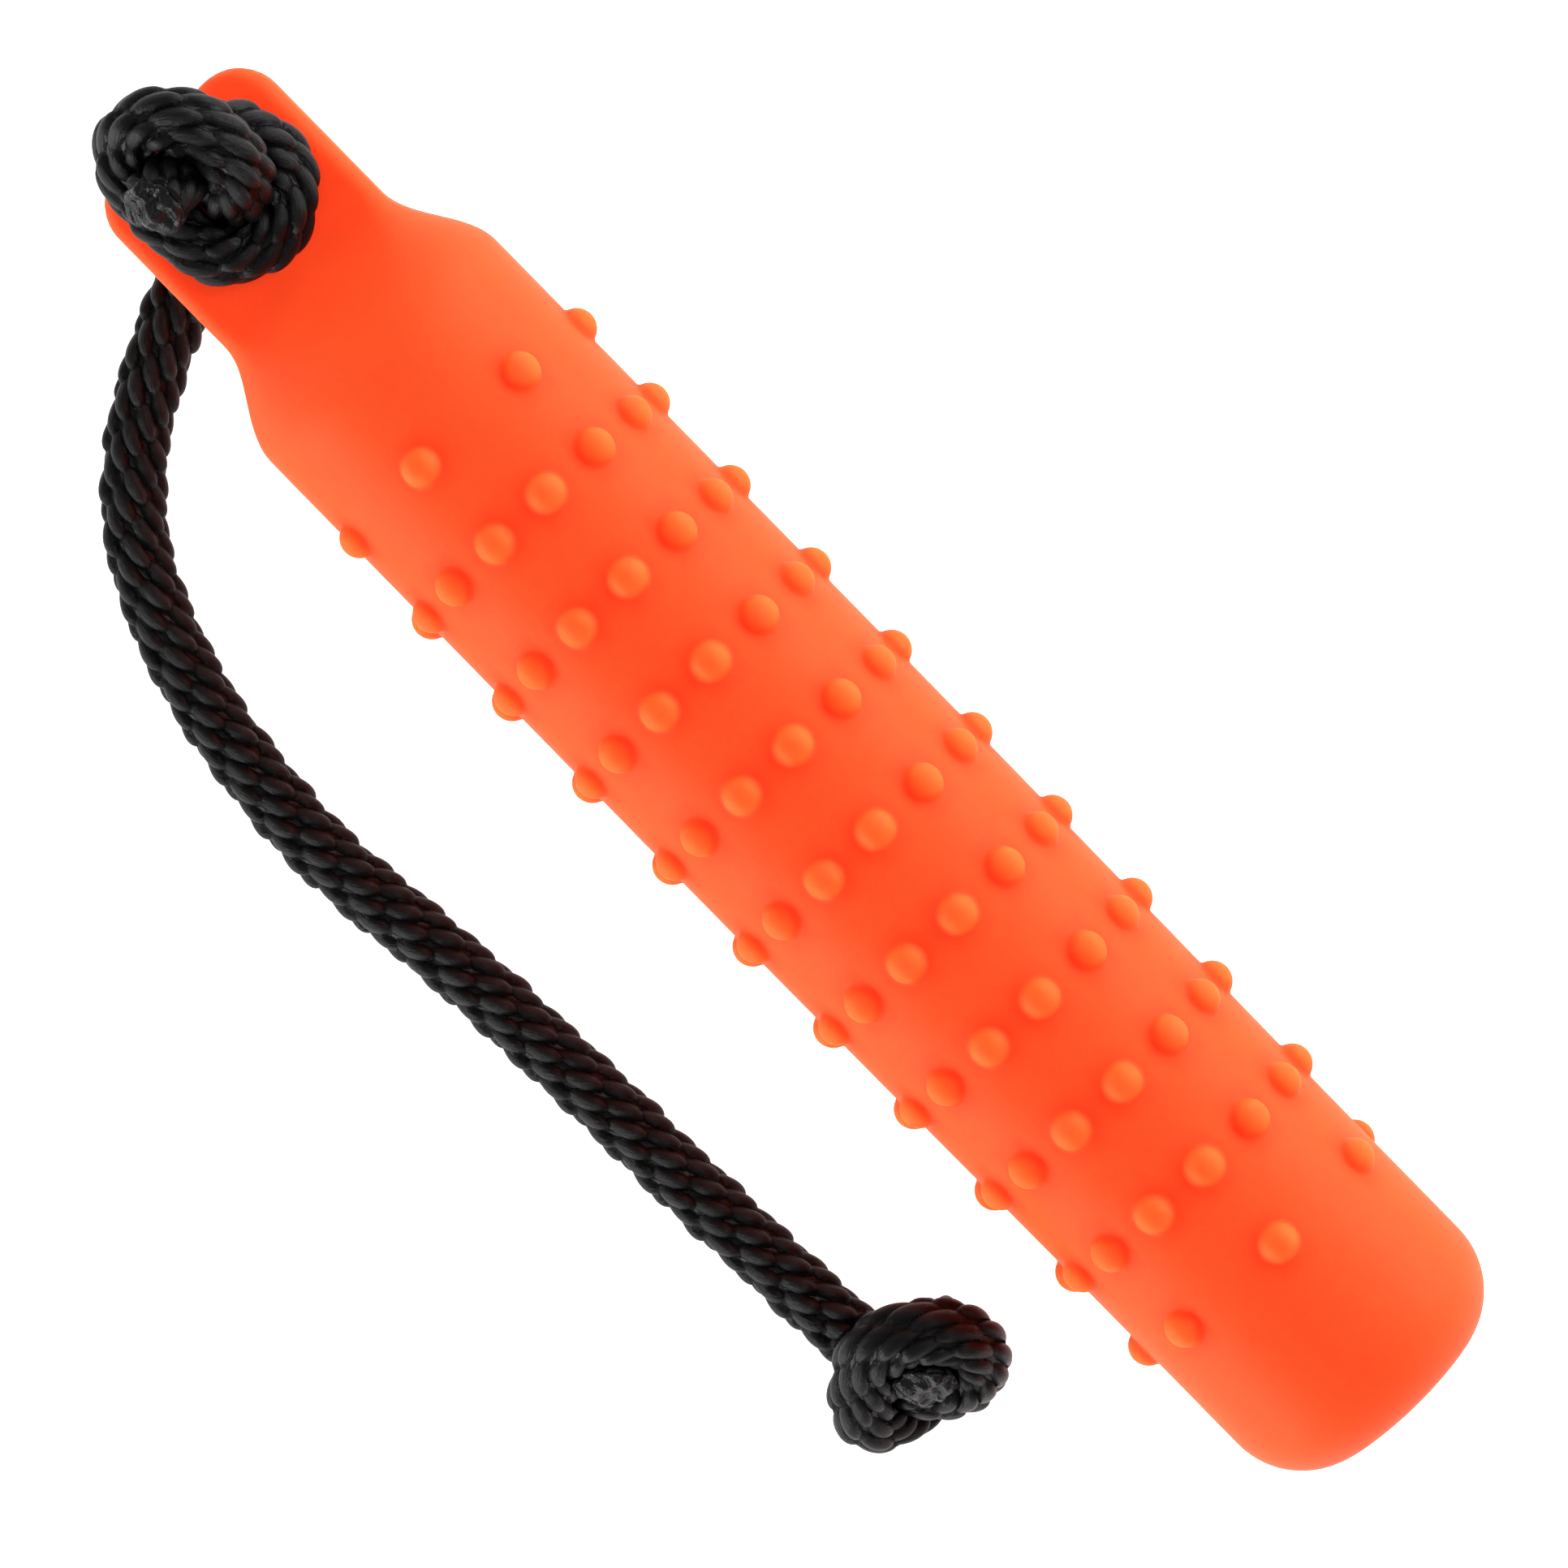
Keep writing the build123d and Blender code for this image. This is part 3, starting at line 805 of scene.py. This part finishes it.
def room_for(line, outward):
    """How far the surface may go each way before another part of the line is nearer:
    |D|^2 / (2 D.u) for every other point at D, and the height over the floor or over the tab's top
    divided by how steeply u points down."""
    count = len(line)
    room = np.full(outward.shape[:2], FREE)
    for first in range(0, count, AT_ONCE):
        rows = slice(first, min(first + AT_ONCE, count))
        to_other = line[None] - line[rows, None]
        square = (to_other**2).sum(axis=2)
        own = np.abs(np.arange(count)[None] - np.arange(count)[rows, None]) < SAME_PART
        useful = np.nonzero(((square < TOUCH_REACH**2) & ~own).any(axis=0))[0]
        to_other, square, own = to_other[:, useful], square[:, useful], own[:, useful]
        facing = np.einsum("ijk,iuk->iuj", to_other, outward[rows])
        halfway = square[:, None] / (2 * np.maximum(facing, LEAST_FACING))
        limit = np.where((facing > LEAST_FACING) & ~own[:, None], halfway, FREE)
        room[rows] = limit.min(axis=2, initial=FREE)
    down = np.maximum(-outward[..., 2], LEAST_DOWN)
    room = np.minimum(room, (line[:, 2] / down.T).T)
    over_tab = (line[:, 2] > rope_top_z + 4 * MM) & (line[:, 0] < shoulder_x)
    tab_room = ((line[:, 2] - rope_top_z) / down.T).T
    return np.where(over_tab[:, None], np.minimum(room, tab_room), room)


USED_ROOM = 0.97  # a small gap is left where two parts meet
height, across, lengthwise, tone = braid(run, turn)
reach = np.minimum(CORE_R + STITCH_RISE * height, USED_ROOM * room_for(whole_line, outward))
rope_surface = whole_line[:, None] + outward * reach[:, :, None]


# %% Cut the braid into its pieces
def rope_piece(name, rows):
    """The rows of the braid as one closed piece, with the stitch values its material reads."""
    mesh = capped_tube(rope_surface[rows], whole_line[rows][[0, -1]], forward=False).mesh(name)
    for label, values in (("height", height), ("across", across),
                          ("lengthwise", lengthwise), ("tone", tone)):
        part = values[rows]
        give_values(mesh, label, np.r_[part.ravel(), part[0].mean(), part[-1].mean()])
    return put(mesh)


hole_row, hand_row = len(tab_line) - 1, len(tab_line) - 1 + len(rope_line) - 1
tab_knot = rope_piece("tab_knot_braid", slice(0, hole_row + 1))
rope = rope_piece("rope_braid", slice(hole_row, hand_row + 1))
hand_knot = rope_piece("hand_knot_braid", slice(hand_row, len(whole_line)))

# %% [markdown]
# ## Melted ends
#
# A polypropylene rope frays unless its ends are held in a flame. The melt sets as a small glossy
# lump with folds and bubbles, a little wider than the rope's core.

# %% Melted rope ends
DOME_ROWS, STEM_ROWS = 26, 6
STEM_R, STEM_DEPTH = 0.97, 1.2  # shares of the dome's radius and rise


def melted_end(name, centre, axis, size, rise, seed):
    """A dome over a rope's end: rows are circles that shrink with the cosine of the row's angle,
    and waves of a few lengths and directions make the folds."""
    around = circle_of(AROUND)
    up = np.linspace(0, np.pi / 2, DOME_ROWS)[:-1, None] + 0 * around
    stem = np.linspace(-1, 0, STEM_ROWS)[:-1, None] + 0 * around
    reach = np.vstack([np.full_like(stem, STEM_R), np.cos(up)])
    x, y, z = reach * np.cos(around), reach * np.sin(around), np.vstack([stem * STEM_DEPTH, np.sin(up)])
    folds = (0.16 * np.sin(4.1 * x + 2.3 * y + seed) * np.sin(3.1 * y - 2.2 * x + 2 * seed)
             + 0.09 * np.sin(9.0 * x * y + 5 * x + seed) + 0.07 * np.sin(11 * y + 3 * x))
    edge = 1 + 0.035 * np.sin(3 * around + seed) + 0.03 * np.sin(7 * around + 2 * seed)
    local = np.stack([size * x * edge, size * y * edge, rise * (z * (1 + folds) + folds * (z > 0))], -1)
    ends = np.array([[0, 0, local[0, :, 2].mean()], [0, 0, local[-1, :, 2].mean()]])
    to_world = leaned_to(axis).T
    return put(capped_tube(local @ to_world + centre, ends @ to_world + centre, forward=False).mesh(name))


tab_seal = melted_end("tab_melt", whole_line[0], -along[0], 4.9 * MM, 1.9 * MM, 1.0)
hand_seal = melted_end("hand_melt", whole_line[-1], along[-1], 5.2 * MM, 1.5 * MM, 4.0)

# %% [markdown]
# ## The air valve
#
# A rubber plug closes the moulding's open end. A pump needle goes through its middle, as on a ball.

# %% The valve
NEEDLE_R, NEEDLE_DEPTH = 1.1 * MM, 9.0 * MM
FLANGE_R, FLANGE_LEN = 6.5 * MM, 2.0 * MM
RIM_R, PLAY = 0.6 * MM, 0.02 * MM  # the face's rounded rim, and the gap to the body


def valve():
    """A turned plug: flange inside, shank in the bore, a rounded face and the needle's port."""
    face, back = valve_high.x, valve_high.x - VALVE_LEN
    flange_back = back - FLANGE_LEN
    rim = [(face - RIM_R + RIM_R * math.sin(a), VALVE_R - PLAY - RIM_R + RIM_R * math.cos(a))
           for a in np.linspace(0, np.pi / 2, 6)]
    outline = np.array([
        (flange_back, 1 * MM), (flange_back, FLANGE_R - 0.4 * MM), (flange_back + 0.4 * MM, FLANGE_R),
        (back - 0.4 * MM, FLANGE_R), (back - PLAY, FLANGE_R - 0.3 * MM), (back - PLAY, VALVE_R - PLAY), *rim,
        (face, 3.4 * MM), (face - 0.35 * MM, 3.0 * MM), (face - 0.4 * MM, 1.9 * MM),
        (face - 0.5 * MM, 1.35 * MM), (face - 0.9 * MM, NEEDLE_R), (face - NEEDLE_DEPTH, NEEDLE_R),
        (face - NEEDLE_DEPTH, 0.5 * MM)])
    ends = np.array([[outline[0, 0], 0, axis_z], [outline[-1, 0], 0, axis_z]])
    return put(capped_tube(revolved(outline, 64), ends).mesh("valve_plug"))


plug = valve()

# %% [markdown]
# ## Materials
#
# The vinyl is soft and a little see-through, so light scatters inside it. On top of that the nubs are
# painted lighter than the skin round them, a painted highlight, and the hollow at their root is painted
# darker, painted shade. Shared effects are node groups with named inputs.

# %% Node helpers
def fill(tree, made, inputs):
    """Links or sets a node's inputs, given by name or by number."""
    for name, value in inputs.items():
        if isinstance(value, bpy.types.NodeSocket):
            tree.links.new(value, made.inputs[name])
        else:
            made.inputs[name].default_value = value


def node(tree, kind, inputs=None, **settings):
    """A node with its attributes set and its inputs filled."""
    made = tree.nodes.new(kind)
    for name, value in settings.items():
        setattr(made, name, value)
    fill(tree, made, inputs or {})
    return made


def times(tree, first, second, clamp=False):
    """A Math node's product."""
    return node(tree, "ShaderNodeMath", {0: first, 1: second},
                operation="MULTIPLY", use_clamp=clamp).outputs[0]


def plus(tree, first, second):
    """A Math node's sum."""
    return node(tree, "ShaderNodeMath", {0: first, 1: second}, operation="ADD").outputs[0]


def mixed(tree, share, first, second):
    """A colour mixed from two by a share; 6 and 7 are the node's colour inputs."""
    return node(tree, "ShaderNodeMix", {"Factor": share, 6: first, 7: second}, data_type="RGBA").outputs[2]


def noise(tree, place, scale, **others):
    """A Noise Texture's value."""
    return node(tree, "ShaderNodeTexNoise", {"Vector": place, "Scale": scale, **others}).outputs[0]


def bumped(tree, height, strength=1.0):
    """The normal of a surface raised by a height in metres."""
    return node(tree, "ShaderNodeBump", {"Height": height, "Distance": 1.0, "Strength": strength}).outputs[0]


def own_place(tree):
    """The point's place on its own piece."""
    return node(tree, "ShaderNodeTexCoord").outputs["Object"]


def attribute(tree, name):
    """A point value written on the mesh."""
    return node(tree, "ShaderNodeAttribute", attribute_name=name).outputs["Fac"]


def new_material(name):
    """A material with only a Principled node on its output, its node tree and that node."""
    material = bpy.data.materials.new(name)
    material.use_nodes = True
    return material, material.node_tree, material.node_tree.nodes["Principled BSDF"]


# %% Shared effects
def mould_grain():
    """Fine orange-peel and slow waves of a moulded skin, as a normal and a 0 to 1 tone."""
    group = bpy.data.node_groups.new("mould_grain", "ShaderNodeTree")
    for name, value in (("Grain", 900.0), ("Depth", 0.00003), ("Waves", 45.0)):
        group.interface.new_socket(name, in_out="INPUT", socket_type="NodeSocketFloat").default_value = value
    for name, kind in (("Normal", "Vector"), ("Tone", "Float")):
        group.interface.new_socket(name, in_out="OUTPUT", socket_type=f"NodeSocket{kind}")
    given, result = group.nodes.new("NodeGroupInput"), group.nodes.new("NodeGroupOutput")
    place = own_place(group)
    fine = noise(group, place, given.outputs["Grain"], Detail=2.0, Roughness=0.6)
    slow = noise(group, place, given.outputs["Waves"], Detail=1.0)
    raised = times(group, plus(group, fine, times(group, slow, 6.0)), given.outputs["Depth"])
    fill(group, result, {"Normal": bumped(group, raised), "Tone": slow})
    return group


grain_group = mould_grain()


# %% Vinyl
def vinyl():
    """Orange plastisol: painted lighter on the nubs, a painted highlight, and painted darker in the hollow
    at their root, painted shade. A red emission is a painted glow that keeps the parts in shadow red."""
    material, tree, shader = new_material("orange_vinyl")
    grain = node(tree, "ShaderNodeGroup", node_tree=grain_group)
    skin = mixed(tree, grain.outputs["Tone"], (0.94, 0.087, 0.019, 1), (0.94, 0.097, 0.022, 1))
    # painted highlight: the colour is lighter and yellower where the nub value is high
    nubs = mixed(tree, times(tree, attribute(tree, "nub"), 0.75), skin, (0.95, 0.15, 0.026, 1))
    # painted shade: the hollow at each nub's root is painted a deeper, darker red
    colour_with_painted_shade_and_highlight = mixed(tree, times(tree, attribute(tree, "root"), 0.35), nubs, (0.90, 0.045, 0.010, 1))
    fill(tree, shader, {
        "Base Color": colour_with_painted_shade_and_highlight, "Normal": grain.outputs["Normal"],
        "Roughness": 0.48, "Specular IOR Level": 0.05,
        # painted glow: a red emission lifts the red of the parts in shadow; the vinyl is no lamp
        "Emission Color": (1.0, 0.0, 0.0, 1), "Emission Strength": 0.22,
        "Subsurface Weight": 0.6, "Subsurface Radius": (1.0, 0.2, 0.06), "Subsurface Scale": 0.006})
    return material


# %% Rope
def braided_yarn():
    """Black filament yarn: the streaks run along each stitch, and the colour is painted darker in the gaps
    between stitches (painted shade) and lighter on their tops (painted highlight).
    """
    material, tree, shader = new_material("black_braid")
    place = node(tree, "ShaderNodeCombineXYZ", {
        "X": times(tree, attribute(tree, "across"), 9.0),
        "Y": times(tree, attribute(tree, "lengthwise"), 1.2),
        "Z": times(tree, attribute(tree, "tone"), 37.0)}).outputs[0]
    streaks = noise(tree, place, 1.0, Detail=3.0, Roughness=0.65)
    fuzz = noise(tree, own_place(tree), 1800.0, Detail=2.0)
    raised = plus(tree, times(tree, streaks, 0.00022), times(tree, fuzz, 0.00006))
    varied = plus(tree, times(tree, streaks, 0.7), times(tree, attribute(tree, "tone"), 0.5))
    # painted shade and highlight: the colour follows the stitch height, dark in the gaps and lighter on the
    # tops; streaks and tone vary it by chance
    light = times(tree, attribute(tree, "height"), varied, clamp=True)
    fill(tree, shader, {
        "Base Color": mixed(tree, light, (0.0002, 0.0002, 0.0003, 1), (0.0046, 0.0046, 0.0048, 1)),
        "Normal": bumped(tree, raised, 0.9), "Roughness": 0.33, "Specular IOR Level": 0.17})
    return material


# %% Melt, rubber and floor
def melted():
    """Glossy black melt with fine wrinkles."""
    material, tree, shader = new_material("melted_rope")
    wrinkles = noise(tree, own_place(tree), 520.0, Detail=3.0, Distortion=1.2)
    fill(tree, shader, {
        "Base Color": (0.004, 0.004, 0.005, 1), "Normal": bumped(tree, times(tree, wrinkles, 0.0006)),
        "Roughness": 0.26, "Specular IOR Level": 0.2})
    return material


def rubber():
    """Matte black rubber."""
    material, tree, shader = new_material("valve_rubber")
    grain = node(tree, "ShaderNodeGroup", {"Grain": 2500.0, "Depth": 0.00002}, node_tree=grain_group)
    fill(tree, shader, {
        "Base Color": (0.012, 0.012, 0.012, 1), "Normal": grain.outputs["Normal"], "Roughness": 0.6})
    return material


def paper():
    """The pale floor: a light table, a little brighter to the eye than to the things on it."""
    material, tree, shader = new_material("pale_floor")
    seen = node(tree, "ShaderNodeLightPath").outputs["Is Camera Ray"]
    fill(tree, shader, {
        "Base Color": (0.85, 0.85, 0.85, 1), "Roughness": 0.9, "Specular IOR Level": 0.1,
        "Emission Color": mixed(tree, seen, (0.62, 0.62, 0.62, 1), (1, 1, 1, 1)), "Emission Strength": 1.0})
    return material


vinyl_material, yarn, melt = vinyl(), braided_yarn(), melted()
body.data.materials.append(vinyl_material)
plug.data.materials.append(rubber())
for piece in (tab_knot, rope, hand_knot):
    piece.data.materials.append(yarn)
for piece in (tab_seal, hand_seal):
    piece.data.materials.append(melt)

# %% [markdown]
# ## Floor and light
#
# Two long soft boxes low at the body's sides make the sides lighter than the top. A small box over
# the far side gives each nub its little highlight, and a pale world fills the rest.

# %% Floor
FLOOR = 4.0  # half the floor's width
floor_mesh = bpy.data.meshes.new("floor")
floor_mesh.from_pydata([(-FLOOR, -FLOOR, 0), (FLOOR, -FLOOR, 0), (FLOOR, FLOOR, 0), (-FLOOR, FLOOR, 0)],
                       [], [(0, 1, 2, 3)])
floor = put(floor_mesh)
floor.data.materials.append(paper())


# %% Lights
def soft_box(name, place, aim, size, power):
    """A rectangular area light at place that faces aim; its long side lies along X."""
    light = bpy.data.lights.new(name, "AREA")
    light.shape, light.energy = "RECTANGLE", power
    light.size, light.size_y = size
    back = np.array(place, float) - np.array(aim, float)
    back /= np.linalg.norm(back)
    right = np.array([1.0, 0, 0]) - back * back[0]
    right /= np.linalg.norm(right)
    stand(name, light, right, np.cross(back, right), back, place)


BODY_MIDDLE = (0, 0, 0.03)
soft_box("box_near_side", (0, -1.3, 0.29), BODY_MIDDLE, (2.0, 0.5), 25)
soft_box("box_far_side", (0, 1.3, 0.29), BODY_MIDDLE, (2.0, 0.5), 25)
soft_box("box_over", (0.1, 0.55, 1.0), BODY_MIDDLE, (0.25, 0.25), 2)
world = bpy.data.worlds.new("studio")
bpy.context.scene.world = world
world.use_nodes = True
sky = world.node_tree.nodes["Background"]
sky.inputs["Color"].default_value = (1, 1, 1, 1)
sky.inputs["Strength"].default_value = 0.47
bpy.context.scene.view_settings.view_transform = "Standard"

# %% [markdown]
# ## Tie the pieces to the CAD model

# %% Bodies, nodes and slots
for piece, body_name, node_name, slot_name in (
        (body, "bumper", "body_shell", "vinyl"), (plug, "bumper", "air_valve", "valve_rubber"),
        (tab_knot, "throw_line", "tab_knot", "rope"), (rope, "throw_line", "throw_rope", "rope"),
        (hand_knot, "throw_line", "hand_knot", "rope"),
        (tab_seal, "throw_line", "tab_end_seal", "melted_rope"),
        (hand_seal, "throw_line", "hand_end_seal", "melted_rope")):
    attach(piece, body_name)
    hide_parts(node_name)
